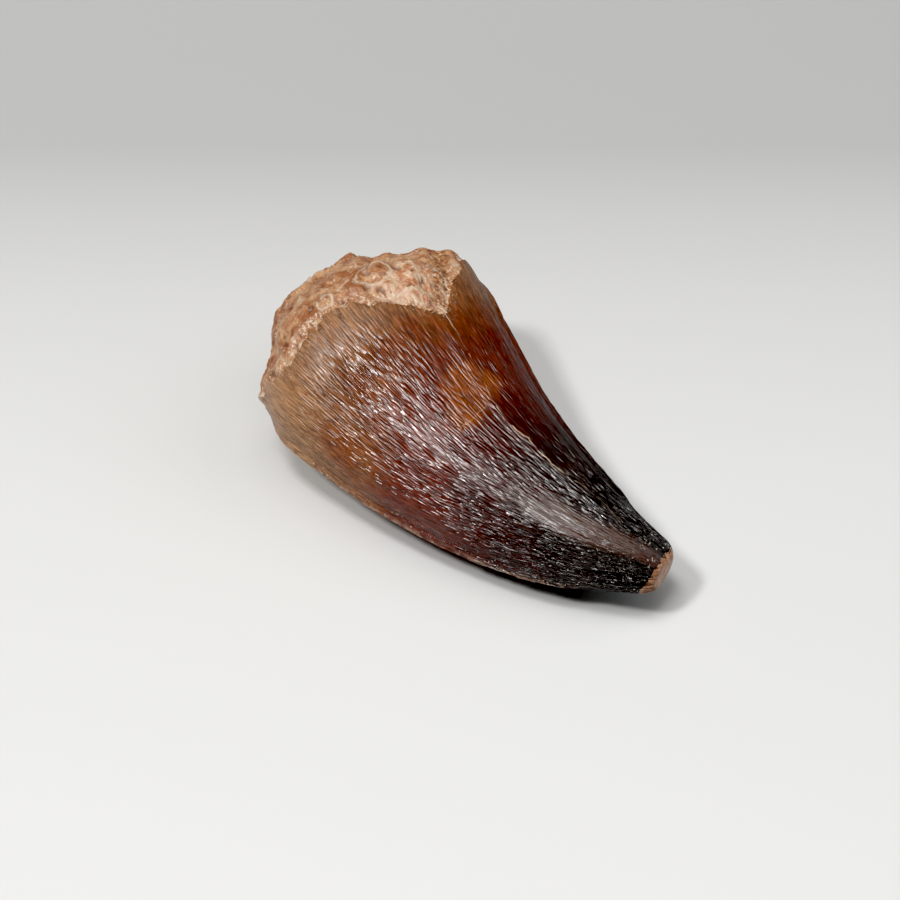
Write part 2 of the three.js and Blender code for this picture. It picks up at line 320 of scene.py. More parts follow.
def rounding_ring(turn):
    """Share, shrink and push back of a ring on the rounded rim of the break."""
    drawn_in = BREAK_ROUNDING * (1 - math.cos(turn)) / HALF_WIDTHS[0][1]
    return 0.0, 1 - drawn_in, BREAK_ROUNDING * math.sin(turn)


def side_rings():
    """Share of the length, shrink of the section and push back of every ring of the side wall."""
    turns = np.linspace(1, 0, ROUNDING_RINGS, endpoint=False)[1:] * math.pi / 2
    rounding = [rounding_ring(turn) for turn in turns]
    crust = [(share, 1.0, 0.0) for share in np.linspace(0, CRUST_REACH, CRUST_RINGS, endpoint=False)]
    tip_start = 1 - TIP_ROUNDING / CROWN_LENGTH
    crown = [(share, 1.0, 0.0) for share in np.linspace(CRUST_REACH, tip_start, CROWN_RINGS)]
    along = np.arange(1, TIP_RINGS + 1) / (TIP_RINGS + 1)
    shrink = (1 - along**TIP_FULLNESS) ** (1 / TIP_FULLNESS)
    tip = [(tip_start + (1 - tip_start) * a, s, 0.0) for a, s in zip(along, shrink)]
    return np.array(rounding + crust + crown + tip).T[:, :, None]


angles = crowded_angles(AROUND)[None, :]
ring_share, shrink, back = side_rings()
degrees = angles + 0 * ring_share
share = ring_share + 0 * degrees
from_base = ring_share * CROWN_LENGTH - back + 0 * degrees
print(len(ring_share), "rings of", AROUND, "points on the side wall")

# %% [markdown]
# Real stone is uneven at several sizes at once: lumps, then grains, then pits. Each size is Perlin noise,
# which gives the same heights on every run. It is taken at the points of the tooth itself, in millimetres,
# so a grain is the same size everywhere and there is no seam. A shift moves each noise away from the
# others.

# %% Noise in millimetres, and the waves that the CAD crust already has
LUMP_SIZE = 1.3
SPECK_SIZE = 0.42


def grains(points, size, shift=0.0):
    """Smooth random heights, about -1 to 1, with lumps of this size."""
    places = (np.asarray(points) / size + shift).reshape(-1, 3).tolist()
    heights = [noise.noise(place) for place in places]
    return np.array(heights).reshape(np.asarray(points).shape[:-1])


def unevenness(points):
    """The waves of the CAD crust, which the fine one shares."""
    x, y, z = points[..., 0], points[..., 1], points[..., 2]
    coarse = np.sin(0.9 * x + 0.6 * y + 0.6) * np.sin(0.8 * y - 0.7 * z)
    fine = np.sin(0.9 * x + 1.7 * z + 1.1) * np.sin(1.1 * x - 1.6 * y)
    return coarse + 0.6 * fine


smooth = tooth_point(ring_share, degrees, shrink, back)
lumps = grains(smooth, LUMP_SIZE)
specks = grains(smooth, SPECK_SIZE, 11.0)
print("Lumps from", lumps.min().round(2), "to", lumps.max().round(2))

# %% [markdown]
# Up close the enamel ends in a ragged line, chipped a little deeper here and there. The step could be cut
# as a sharp edge, but then every chip needs its own points. Instead the distance past the edge is bent by
# noise, and everything that depends on the edge, relief and colour, reads that one value.

# %% How far each point is past the ragged edge of the enamel
CHIP_SIZE = 2.6
CHIP_DEPTH = 1.1
NICK_SIZE = 0.7
NICK_DEPTH = 0.35
STEP_FOOT = -0.25
STEP_TOP = 0.2
past_edge = from_base - smooth_through(ENAMEL_EDGE, degrees)
past_edge = past_edge + CHIP_DEPTH * grains(smooth, CHIP_SIZE, 5.0)
past_edge = past_edge + NICK_DEPTH * grains(smooth, NICK_SIZE, 3.0)
on_enamel = ease(STEP_FOOT, STEP_TOP, past_edge)
print("Enamel covers", round(100 * float(on_enamel.mean())), "% of the side points")

# %% [markdown]
# Mosasaur enamel is covered in fine wrinkles that run from the base to the tip, fork and join again. They
# could be drawn one by one, but there are some two hundred. Here they are a wave that counts round the
# tooth, rounded on top with a sharp groove between. They keep their spacing as the crown narrows: step by
# step, every other wrinkle fades out towards the tip.

# %% The wave of the wrinkles
WRINKLES_AT_WIDEST = 208
FADING_FROM = 0.2
FADING_TO = 0.8


def mean_radius(share):
    """Millimetres round the tooth for a turn of one radian."""
    return arc_length(share, np.degrees(1.0))


def wrinkle_height(share, degrees, sideways):
    """0 in the grooves and 1 on the wrinkles, which are pushed sideways by this many millimetres."""
    radius = mean_radius(share)
    halvings = np.log2(radius.max() / radius)
    step = np.floor(halvings)
    fading = ease(FADING_FROM, FADING_TO, halvings - step)
    turn = np.radians(degrees) + sideways / radius
    count = WRINKLES_AT_WIDEST / 2**step
    wave = (1 - fading) * np.cos(count * turn) + fading * np.cos(count / 2 * turn)
    return np.sqrt(np.clip(0.5 + 0.5 * wave, 0, 1))


spacing = 2 * math.pi * mean_radius(share).max() / WRINKLES_AT_WIDEST
print("Wrinkles are", round(float(spacing), 2), "mm apart at the widest place")

# %% [markdown]
# Noise that is drawn out along the tooth pushes the lines of the wave sideways until they fork. On the
# inner side the wrinkles run straight and long, elsewhere they sway in short steps and break up. The same
# kind of noise in other sizes breaks them, and makes the enamel swell between them.

# %% Sway, breaks and swellings of the enamel
SWAY_WIDTH = 0.84
SWAY_ACROSS = 1.3
SHORT_SWAY_LENGTH = 2.6
LONG_SWAY_LENGTH = 9.0
FINE_SWAY_WIDTH = 0.12
STRAIGHT_SIDE = {"middle": 22, "full": 62, "end": 100}
STRAIGHT_KEEPS = 0.7


def stretched_noise(across, length, shift):
    """Noise drawn out along the tooth, in cells this many millimetres across and long."""
    size = mean_radius(0.3) / across
    turn = np.radians(degrees)
    place = np.stack([size * np.cos(turn), size * np.sin(turn), share * CROWN_LENGTH / length], -1)
    return grains(place, 1.0, shift)


straightness = near(degrees, **STRAIGHT_SIDE)
short_sway = stretched_noise(SWAY_ACROSS, SHORT_SWAY_LENGTH, 7.0)
long_sway = stretched_noise(SWAY_ACROSS, LONG_SWAY_LENGTH, 3.0)
fine_sway = stretched_noise(0.5, 1.8, 13.0)
sway = SWAY_WIDTH * ((1 - straightness) * short_sway + straightness * long_sway)
ridge = wrinkle_height(share, degrees, sway + FINE_SWAY_WIDTH * fine_sway)
breaks = stretched_noise(0.7, 2.6, 17.0)
swell = stretched_noise(0.9, 2.2, 19.0)
broken = (1 - STRAIGHT_KEEPS * straightness) * ease(0.0, 0.4, breaks)
print("Ridges stand on", round(100 * float((ridge > 0.5).mean())), "% of the surface")

# %% [markdown]
# Lime is left on the crust as thin pale rings and as a net of fine veins. They could be paint alone, but
# they catch the light, so they also stand a little proud. The veins are where a soft noise passes through
# zero, which draws thin winding lines by itself.

# %% Rings and veins of lime on the crust
RING_TRACES = [
    # millimetres from the base, angle, radius, half width of the line
    (10.4, 86, 1.8, 0.2),
    (10.2, 110, 1.0, 0.16),
]
RING_RAGGEDNESS = 0.3
RING_FOOT = 1.6
VEIN_SIZE = 2.4
VEIN_WIDTH = 0.07
VEIN_HEIGHT = 0.8
VEINED_AREA_SIZE = 3.4

rings = np.zeros(degrees.shape)
for place, angle, radius, half_width in RING_TRACES:
    ragged = radius * (1 + RING_RAGGEDNESS * lumps)
    off_line = np.abs(distance_to(share, degrees, place, angle) - ragged)
    rings = np.maximum(rings, bump(off_line, half_width * RING_FOOT))
veins = bump(np.abs(grains(smooth, VEIN_SIZE, 51.0)), VEIN_WIDTH)
veins = veins * ease(0.0, 0.25, grains(smooth, VEINED_AREA_SIZE, 53.0))
traces = np.maximum(rings, VEIN_HEIGHT * veins)
print("Lime lines cover", round(100 * float((traces > 0.5).mean()), 1), "% of the side points")

# %% [markdown]
# The crust is cemented sand: soft lumps, sharp little grains on them, and pits where grains have fallen
# out. The grainy strip is coarser and has no pits. At the outer corner of the root stands a small pale
# point, which is too small for the CAD solid. Displacing by noise keeps all this in real geometry, unlike a
# painted bump.

# %% The relief of the crust
LUMP_HEIGHT = 0.15
SPECK_HEIGHT = 0.1
PIT_SIZE = 0.9
PIT_DEPTH = 0.26
TRACE_HEIGHT = 0.14
STRIP_GRAIN_SIZE = 0.55
STRIP_GRAIN_HEIGHT = 0.22
STRIP_SPECK_HEIGHT = 0.08
SPUR_POINT = {"at": (7.7, 177), "radius": 1.5, "height": 0.75}

in_strip = strip_share(share, degrees)
pits = ease(0.28, 0.5, grains(smooth, PIT_SIZE, 31.0))
crust_relief = LUMP_HEIGHT * lumps + SPECK_HEIGHT * specks - PIT_DEPTH * pits + TRACE_HEIGHT * traces
strip_grains = np.abs(grains(smooth, STRIP_GRAIN_SIZE, 13.0))
strip_relief = STRIP_GRAIN_HEIGHT * strip_grains + STRIP_SPECK_HEIGHT * specks
crust_relief = crust_relief * (1 - in_strip) + strip_relief * in_strip
spur_point = bump(distance_to(share, degrees, *SPUR_POINT["at"]), SPUR_POINT["radius"])
crust_relief = crust_relief + SPUR_POINT["height"] * spur_point
print("Crust relief from", crust_relief.min().round(2), "to", crust_relief.max().round(2), "mm")

# %% [markdown]
# The wrinkles are not equally deep everywhere. They start low at the edge of the enamel. Towards the tip
# the upper face is worn nearly smooth, and along the brow of the crown it is rubbed, so a ribbon of light
# lies there. On the steep outer side they are shallow at first and deepen towards the tip. Sculpting could
# show this too, but soft masks multiplied together stay easy to change.

# %% How deep the wrinkles are
DEPTH_AT_EDGE = 0.3
WORN_SMOOTH = 0.85
STRAIGHT_SHALLOWER = 0.35
RUBBED_OFF = 0.5
STEEP_SHALLOWER = 0.25
SMOOTH_MIDDLE = 113
SMOOTH_SHIFT = 8
BROW_ANGLE = 121

settled = DEPTH_AT_EDGE + (1 - DEPTH_AT_EDGE) * ease(1, 8, past_edge)
smooth_middle = SMOOTH_MIDDLE - SMOOTH_SHIFT * ease(48, 56, from_base)
smooth_face = ease(38, 46, from_base) * near(degrees, smooth_middle, 9, 21)
rubbed_brow = band(from_base, 20, 30, 46, 52) * near(degrees, BROW_ANGLE, 8, 18)
steep_side = band(degrees, 135, 160, 215, 235)
wrinkle_depth = settled * (1 - WORN_SMOOTH * smooth_face) * (1 - STRAIGHT_SHALLOWER * straightness)
wrinkle_depth = wrinkle_depth * (1 - RUBBED_OFF * rubbed_brow)
wrinkle_depth = wrinkle_depth * (1 + steep_side * (ease(34, 42, from_base) - STEEP_SHALLOWER))
print("Wrinkles have", round(100 * float(wrinkle_depth.mean())), "% of their full depth on average")

# %% [markdown]
# The enamel's relief is the wrinkles, a slow swelling of the surface between them, a crease like a low roof
# that runs on from the upper keel to the tip, and a fine serrated crest on both cutting edges.

# %% The relief of the enamel
WRINKLE_HEIGHT = 0.12
BREAKS_TAKE = 0.75
SWELL_HEIGHT = 0.07
UPPER_CREASE = {"height": 0.34, "half_width": 3.2, "start": 30, "full": 42, "fade": 55, "end": 57}
CREASE_BLUNTNESS = 0.01
CREST_WIDTH = 0.45
CREST_HEIGHT = 0.12
CREST_RAGGEDNESS = 0.8

enamel_relief = WRINKLE_HEIGHT * wrinkle_depth * (ridge - 0.5) * (1 - BREAKS_TAKE * broken)
enamel_relief = enamel_relief + SWELL_HEIGHT * swell * (1 - straightness) * (1 - RUBBED_OFF * rubbed_brow)
crease_line = keel_line(KEELS["upper keel"], share)
off_crease = arc_length(share, turn_between(degrees, crease_line)) / UPPER_CREASE["half_width"]
crease = np.maximum(1 - np.sqrt(off_crease**2 + CREASE_BLUNTNESS), 0)
crease = crease * ease(UPPER_CREASE["start"], UPPER_CREASE["full"], from_base)
crease = UPPER_CREASE["height"] * crease * (1 - ease(UPPER_CREASE["fade"], UPPER_CREASE["end"], from_base))
enamel_relief = enamel_relief + crease
cutting_edges = [KEELS["outer cutting edge"], KEELS["inner cutting edge"]]
crests = sum(keel_share(share, degrees, keel, CREST_WIDTH) for keel in cutting_edges)
enamel_relief = enamel_relief + CREST_HEIGHT * crests * (1 + CREST_RAGGEDNESS * specks)
print("Enamel relief from", enamel_relief.min().round(2), "to", enamel_relief.max().round(2), "mm")

# %% [markdown]
# The large forms are pushed out across the section, as in the CAD model, so that the two agree. The fine
# relief then follows the surface's own direction, worked out from the neighbouring points. A displacement
# modifier would push everything one way at once, and thin forms would lean.

# %% Push the relief out
ENAMEL_STEP = 0.35
CRUST_ROUGHNESS = 0.28


def surface_normals(points):
    """The direction out of the surface at each point of the wall."""
    around_way = np.roll(points, -1, 1) - np.roll(points, 1, 1)
    along_way = np.gradient(points, axis=0)
    normal = np.cross(around_way, along_way)
    return normal / np.linalg.norm(normal, axis=-1, keepdims=True)


relief = large_relief(share, degrees) - ENAMEL_STEP * (1 - on_enamel)
relief = relief + CRUST_ROUGHNESS * unevenness(smooth) * (1 - on_enamel)
formed = smooth + outward_at(share, degrees) * relief[..., None]
fine = crust_relief * (1 - on_enamel) + enamel_relief * on_enamel
side_wall = formed + surface_normals(formed) * fine[..., None]
print("Fine relief from", fine.min().round(3), "to", fine.max().round(3), "mm")

# %% [markdown]
# The broken base is dished where the pulp cavity was and filled with hardened sand. It can't be seen in the
# photo, so it is finished as such a break usually looks: rough, porous, with a few knobs. A cut with a
# rough box would give a plain hollow, so it follows the CAD knobs and adds grains and pores to them.

# %% The broken face
DISH_DEPTH = 3.6
DISH_SHARE = 0.8
BREAK_KNOBS = [
    # share of the way out, angle, radius, height
    (0.2, 40, 3.0, 1.3), (0.45, 150, 3.4, 1.5), (0.55, 265, 2.8, -1.1), (0.6, 335, 3.2, 1.2),
    (0.7, 95, 3.0, -1.2), (0.78, 205, 2.6, 1.0), (0.8, 30, 2.4, 1.1),
]
BREAK_ROUGHNESS = 0.4
BREAK_GRAIN_HEIGHT = 0.22
BREAK_SPECK_HEIGHT = 0.12
PORE_DEPTH = 0.35
RIM_QUIET = 6


def break_points(outward, degrees):
    """Points of the broken face, from its middle at 0 outwards to its rim at 1."""
    base_half_width = HALF_WIDTHS[0][1]
    rim_shrink = (base_half_width - BREAK_ROUNDING) / base_half_width
    points = tooth_point(0.0, degrees, rim_shrink * outward, BREAK_ROUNDING)
    dish = DISH_DEPTH * (1 - ease(0, DISH_SHARE, outward))
    for place, angle, radius, height in BREAK_KNOBS:
        turn, knob_turn = np.radians(degrees), math.radians(angle)
        across = outward * np.cos(turn) - place * math.cos(knob_turn)
        up = outward * np.sin(turn) - place * math.sin(knob_turn)
        dish = dish - height * bump(rim_shrink * base_half_width * np.hypot(across, up), radius)
    inward = np.minimum((1 - outward) * RIM_QUIET, 1)
    roughness = BREAK_ROUGHNESS * unevenness(points) * np.minimum(outward * 2, 1)
    pores = ease(0.25, 0.5, grains(points, 0.8, 41.0))
    fine = BREAK_GRAIN_HEIGHT * grains(points, 1.1, 17.0) + BREAK_SPECK_HEIGHT * grains(points, 0.4, 19.0)
    points[..., 0] += dish - roughness - (fine - PORE_DEPTH * pores) * inward
    return points


break_angles = angles[:, ::2]
outward = (np.arange(1, DISH_RINGS + 1) / DISH_RINGS)[:, None]
broken_face = break_points(outward, break_angles + 0 * outward)
middle = break_points(np.array([[0.0]]), np.array([[0.0]]))[0, 0]
print(DISH_RINGS, "rings of", broken_face.shape[1], "points on the broken face")

# %% [markdown]
# In life the tip wore to a blunt stub, and a flat facet was rubbed on it. The CAD model cuts the facet with
# a plane. Here the points beyond the plane are pressed back onto it, which keeps the mesh closed without a
# boolean. The belly gets the same treatment where the tooth lies on the table.

# %% Wear the tip
WEAR_SETBACK = 0.3
WEAR_TURN_DOWN = 2
WEAR_TURN_IN = 14
FACET_LUMPS = 0.05
FACET_SPECKS = 0.03
FACET_INSET = 0.06

tip = tooth_point(1.0, 0.0, 0.0)
down, inwards = math.radians(WEAR_TURN_DOWN), math.radians(WEAR_TURN_IN)
facing = np.array([math.cos(inwards) * math.cos(down), math.sin(inwards) * math.cos(down), -math.sin(down)])
beyond_facet = (side_wall - tip) @ facing + WEAR_SETBACK
facet_unevenness = FACET_LUMPS * lumps + FACET_SPECKS * specks
worn_depth = np.maximum(beyond_facet - facet_unevenness + FACET_INSET, 0)
side_wall = side_wall - worn_depth[..., None] * facing
apex = side_wall[-1].mean(0)
print("The facet is worn", worn_depth.max().round(2), "mm deep")

# %% [markdown]
# The packed tooth lies on its rest patch with its outline centred. The fine one must lie in the same box,
# so its tip and its left side are brought to the box's, and its belly is lowered by what the CAD belly
# lost. The points could be scaled to fit, but then the two would no longer agree in the middle.

# %% Put the tooth in its place
REST_WEAR = 0.3
LOWEST_OF_CAD_SKIN = -0.14
INSIDE = 0.004

tip_reach = side_wall[..., 0].max()
widest_left = side_wall[..., 1].min()
cad_low, cad_high = (np.array(corner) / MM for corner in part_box("tooth"))
shift = np.array([cad_high[0] - tip_reach, cad_low[1] - widest_left, -LOWEST_OF_CAD_SKIN - REST_WEAR])
wall_and_face = [middle[None], broken_face.reshape(-1, 3), side_wall.reshape(-1, 3), apex[None]]
places = np.clip(np.concatenate(wall_and_face) + shift, cad_low + INSIDE, cad_high - INSIDE)
places[:, 2] = np.where(places[:, 2] < 2 * INSIDE, 0.0, places[:, 2])
print("The tooth is shifted by", shift.round(2), "mm")

# %% [markdown]
# Rings become a mesh by joining each with the next. Where the number of points halves, at the edge of the
# broken face, three triangles bridge every two steps of the finer ring. Two last points close the ends. A
# hull tool would make the same skin, but not in a known order, and the finishes need to know each point.

# %% Ways to join rings
def ring_numbers(start, count, rings):
    """The point numbers of so many rings, one list each."""
    return [list(range(start + i * count, start + (i + 1) * count)) for i in range(rings)]


def ring_strip(first, second):
    """Faces between two rings of the same count."""
    return np.stack([first, np.roll(first, -1), np.roll(second, -1), second], -1).tolist()


def halving_strip(coarse, finer):
    """Faces between a ring and the next one, which has twice as many points."""
    faces = []
    for k in range(len(coarse)):
        a, b = coarse[k], coarse[(k + 1) % len(coarse)]
        p, q, r = finer[2 * k], finer[2 * k + 1], finer[(2 * k + 2) % len(finer)]
        faces += [[a, q, p], [a, b, q], [b, r, q]]
    return faces


half_around = AROUND // 2
wall_start = 1 + DISH_RINGS * half_around
face_rings = ring_numbers(1, half_around, DISH_RINGS)
wall_rings = ring_numbers(wall_start, AROUND, len(ring_share))
print("The wall starts at point", wall_start)

# %% [markdown]
# The faces are listed from the middle of the break outwards and then up the wall to the tip. One smooth-
# shaded mesh is enough, because the tooth is one piece, and its sharpest forms are made of points, not of
# hard edges.

# %% Join the rings into one closed mesh
first_ring, last_ring = face_rings[0], wall_rings[-1]
faces = [[0, second, first] for first, second in zip(first_ring, first_ring[1:] + first_ring[:1])]
for inner, outer in zip(face_rings[:-1], face_rings[1:]):
    faces += ring_strip(inner, outer)
faces += halving_strip(face_rings[-1], wall_rings[0])
for nearer, further in zip(wall_rings[:-1], wall_rings[1:]):
    faces += ring_strip(nearer, further)
last_point = len(places) - 1
faces += [[last_point, first, second] for first, second in zip(last_ring, last_ring[1:] + last_ring[:1])]

mesh = bpy.data.meshes.new("mosasaur_tooth")
mesh.from_pydata((places * MM).tolist(), [], faces)
mesh.validate()
mesh.shade_smooth()
triangles = sum(len(face) - 2 for face in faces)
print(len(places), "points and", triangles, "triangles")

# %% [markdown]
# The finishes need to know where they are on the tooth. Each point therefore carries named values, such as
# how far it is past the enamel's edge and how high its ridge is. They could be painted by hand into images,
# but values inside the mesh have no seams and follow every change of shape.

# %% Keep a named value on every point
def on_every_point(wall_values, face_value, tip_value=None):
    """One number per point: these on the side wall, one on the broken face and one at the tip."""
    wall_values = np.broadcast_to(wall_values, degrees.shape).ravel()
    tip_value = wall_values[-1] if tip_value is None else tip_value
    return np.concatenate([np.full(wall_start, face_value, float), wall_values, [tip_value]])


def keep(name, wall_values, face_value=0.0):
    """Store a value on every point under a name."""
    attribute = mesh.attributes.new(name, "FLOAT", "POINT")
    attribute.data.foreach_set("value", on_every_point(wall_values, face_value).astype(np.float32))


keep("from_base", from_base, -3.0)
keep("past_edge", past_edge, -8.0)
keep("ridge", ridge)
keep("wrinkle_depth", wrinkle_depth)
keep("degrees_round", degrees)
keep("smooth_face", smooth_face)
keep("outer_side", steep_side * ease(6, 15, from_base))
keep("flank", straightness * (1 - ease(40, 52, from_base)))
keep("trace", np.maximum(traces, ease(0.1, 0.6, spur_point)) * (1 - on_enamel))
keep("strip", in_strip)
keep("pit", pits * (1 - on_enamel))
print("Values kept:", len([a for a in mesh.attributes if a.data_type == "FLOAT"]))

# %% [markdown]
# The enamel's colours change along the tooth, and sooner or later on different sides. The tone is therefore
# the distance from the base, shifted by an amount that depends on the angle. Streaks need a second guide: a
# place in a space that is squeezed lengthwise, so that ordinary noise comes out long and thin along the
# grain.

# %% Tone along the tooth, and the way of the grain
TONE_SHIFT = [
    # angle, millimetres that the colours come later
    (0, -3.0), (20, -2.5), (45, -1.5), (65, 0.0), (90, 0.0), (120, 0.5), (150, 4.0), (180, 6.5), (200, 7.0),
    (250, 3.0), (310, 0.0), (360, -3.0),
]
GRAIN_LENGTH = 8.5
WIDEST_GIRTH = 14.2

keep("tone", from_base - smooth_through(TONE_SHIFT, degrees))
girth = np.sqrt(WIDEST_GIRTH * mean_radius(share))
turned = np.radians(degrees)
grain_way = np.stack([girth * np.cos(turned), girth * np.sin(turned), from_base / GRAIN_LENGTH], -1)
off_wall = np.zeros((wall_start, 3))
grain_way = np.concatenate([off_wall, grain_way.reshape(-1, 3), grain_way[-1, :1]])
attribute = mesh.attributes.new("grain_way", "FLOAT_VECTOR", "POINT")
attribute.data.foreach_set("vector", grain_way.astype(np.float32).ravel())
print("Grain cells are", GRAIN_LENGTH, "mm long")

# %% [markdown]
# A pale seam wanders up the upper face, where the enamel has opened along its grain. It is a line through
# places read off the photo, and each point keeps how far it is to the side of that line.

# %% How far each point is from the pale seam
PALE_SEAM = [
    # millimetres from the base, angle
    (11.3, 68), (15.5, 68), (20.2, 69), (23.9, 72), (27.5, 74), (31.2, 78), (34.4, 82), (36.8, 80.5),
    (41, 81.5), (44.3, 80), (46.8, 77), (50, 80), (53.4, 84), (56.2, 91),
]
SEAM_END_TAPER = 3

seam_start, seam_end = PALE_SEAM[0][0], PALE_SEAM[-1][0]
along = share * CROWN_LENGTH
turn = (degrees - smooth_through(PALE_SEAM, along) + 540) % 360 - 180
beyond = np.maximum(seam_start - along, 0) + np.maximum(along - seam_end, 0)
off_seam = arc_length(share, turn) + SEAM_END_TAPER * beyond
keep("off_seam", off_seam, 9.0)
print("The seam is", round(seam_end - seam_start, 1), "mm long")

# %% [markdown]
# Some colours sit in spots: creamy sand on the round patch, orange rust in the middle of the crown. The
# outer cutting edge and the tip are speckled with lime, and the crest itself is rubbed pale. Each spot is a
# place, an angle and a radius, and the colour fades towards its rim.

# %% Spots, rims and the crest
SANDY_SPOTS = [(14.2, 78, 4.6), (12.2, 70, 3.0)]
RUST_PATCHES = [(28.5, 84, 4.8), (30.5, 95, 3.6), (29.0, 72, 2.5), (22.0, 165, 5.0)]
RIM_WIDTH = 3.2
CREST_PAINT_WIDTH = 0.9


def spot(places_and_sizes):
    """1 in the middle of any of these spots and 0 outside them all."""
    found = np.zeros(degrees.shape)
    for place, angle, radius in places_and_sizes:
        found = np.maximum(found, 1 - np.minimum(distance_to(share, degrees, place, angle) / radius, 1))
    return found


keep("sandy", spot(SANDY_SPOTS))
keep("rust_patch", spot(RUST_PATCHES))
outer_edge = KEELS["outer cutting edge"]
keep("rim", np.minimum(keel_share(share, degrees, outer_edge, RIM_WIDTH) + ease(52.5, 57, from_base), 1))
keep("crest", keel_share(share, degrees, outer_edge, CREST_PAINT_WIDTH))
print("Values kept:", ", ".join(sorted(a.name for a in mesh.attributes if not a.name.startswith("."))))

# %% [markdown]
# Every finish is built from shader nodes. A bench is a place to lay them out: it puts down a node, sets its
# plain values and links its inputs, so that each material reads as a list of what it is made of. Nodes
# could be wired by hand in the editor, but then nobody could read why. Colours are written as on screen,
# from 0 to 255.

# %% Colours, and a bench for shader nodes
def paint(red, green, blue):
    """A colour as seen on screen, made linear."""
    def linear(level):
        level = level / 255
        return level / 12.92 if level <= 0.04045 else ((level + 0.055) / 1.055) ** 2.4
    return (linear(red), linear(green), linear(blue), 1.0)


class Bench:
    """Places and links nodes in one node tree."""

    def __init__(self, tree):
        self.tree = tree

    def feed(self, socket, value):
        """Link a socket, or set it to a plain value."""
        if isinstance(value, bpy.types.NodeSocket):
            self.tree.links.new(value, socket)
        else:
            socket.default_value = value

    def put(self, kind, inputs=None, **settings):
        node = self.tree.nodes.new(kind)
        for name, value in settings.items():
            setattr(node, name, value)
        for name, value in (inputs or {}).items():
            self.feed(node.inputs[name], value)
        return node

    def value(self, name):
        """A value that the mesh keeps on its points."""
        return self.put("ShaderNodeAttribute", attribute_name=name).outputs["Fac"]

    def place(self, name):
        return self.put("ShaderNodeAttribute", attribute_name=name).outputs["Vector"]

    def math(self, operation, first, second=0.5):
        return self.put("ShaderNodeMath", {0: first, 1: second}, operation=operation).outputs[0]

    def times(self, first, second):
        return self.math("MULTIPLY", first, second)

    def plus(self, first, second):
        return self.math("ADD", first, second)

    def minus(self, first, second):
        return self.math("SUBTRACT", first, second)

    def larger(self, first, second):
        return self.math("MAXIMUM", first, second)

    def size(self, value):
        """The value without its sign."""
        return self.math("ABSOLUTE", value)


print("Enamel brown in linear values:", [round(c, 3) for c in paint(107, 58, 34)[:3]])

# %% [markdown]
# Most of a finish is made with a few larger moves: a soft threshold, noise, a mix, a ramp of colours, a
# layer of one colour over another where a mask says so, and a shallow relief. Each gets a short name of its
# own.

# %% Larger moves on the bench
class FinishBench(Bench):
    """A bench with the moves that finishes are made of."""

    def between(self, value, low, high):
        """0 below low, 1 above high, soft between; the other way round where low is above high."""
        node = self.put("ShaderNodeMapRange", {"Value": value}, interpolation_type="SMOOTHSTEP")
        node.inputs["From Min"].default_value = min(low, high)
        node.inputs["From Max"].default_value = max(low, high)
        node.inputs["To Min"].default_value = 0.0 if low < high else 1.0
        node.inputs["To Max"].default_value = 1.0 if low < high else 0.0
        return node.outputs["Result"]

    def mix(self, share, first, second, blend="MIX"):
        node = self.put("ShaderNodeMix", data_type="RGBA", blend_type=blend)
        for number, value in ((0, share), (6, first), (7, second)):
            self.feed(node.inputs[number], value)
        return node.outputs[2]

    def lay(self, colour, over, mask, strength):
        """A colour laid over another where the mask is, at most this strongly."""
        return self.mix(self.times(mask, strength), over, colour)

    def noise(self, vector, scale, detail=3.0, roughness=0.55):
        inputs = {"Vector": vector, "Scale": scale, "Detail": detail, "Roughness": roughness}
        return self.put("ShaderNodeTexNoise", inputs).outputs["Fac"]

    def ramp(self, value, stops, span=1.0):
        node = self.put("ShaderNodeValToRGB", {"Fac": self.math("DIVIDE", value, span)})
        ramp = node.color_ramp
        while len(ramp.elements) < len(stops):
            ramp.elements.new(1.0)
        for element, (position, colour) in zip(ramp.elements, stops):
            element.position = position / span
            element.color = colour
        return node.outputs["Color"]

    def emboss(self, shader, height, strength, depth):
        """A shallow relief in the shading, on top of the one in the mesh."""
        node = self.put("ShaderNodeBump", {"Strength": strength, "Distance": depth, "Height": height})
        self.feed(shader.inputs["Normal"], node.outputs["Normal"])

    def group(self, name, **values):
        """One of the shared effects, with its own values; _ in a name stands for a space."""
        node = self.put("ShaderNodeGroup", node_tree=bpy.data.node_groups[name])
        for input_name, value in values.items():
            self.feed(node.inputs[input_name.replace("_", " ")], value)
        return node.outputs


def new_group(name, inputs, outputs):
    """An empty node group with these named sockets, as (bench, its inputs, its outputs)."""
    tree = bpy.data.node_groups.new(name, "ShaderNodeTree")
    for socket_name, kind, value in inputs:
        socket = tree.interface.new_socket(name=socket_name, in_out="INPUT", socket_type=kind)
        socket.default_value = value
    for socket_name, kind in outputs:
        tree.interface.new_socket(name=socket_name, in_out="OUTPUT", socket_type=kind)
    bench = FinishBench(tree)
    return bench, bench.put("NodeGroupInput").outputs, bench.put("NodeGroupOutput").inputs


def new_material(name):
    material = bpy.data.materials.new(name)
    material.use_nodes = True
    return material, FinishBench(material.node_tree), material.node_tree.nodes["Principled BSDF"]


print("Moves:", ", ".join(name for name in vars(FinishBench) if not name.startswith("_")))

# %% [markdown]
# Two effects are shared by the finishes. One is mottled stone: two colours in patches, with dark dirt in
# the grain. The other is a scatter of small pale flecks, as lime and loose sand leave behind. Each is a
# node group, built once and given its own values in every material, so that all of them are the same kind
# of stone.

# %% Node groups: mottled stone and pale flecks
METRE_TO_MM = 1000.0
FLOAT, COLOUR = "NodeSocketFloat", "NodeSocketColor"
PATCH_EDGE = (0.38, 0.62)
GRAINS_PER_MM = 3.4
GRAIN_EDGE = (0.62, 0.4)
DIRT = (0.02, 0.012, 0.008, 1.0)
DIRT_SHARE = 0.55
FLECK_EDGE = (0.0, 0.06)


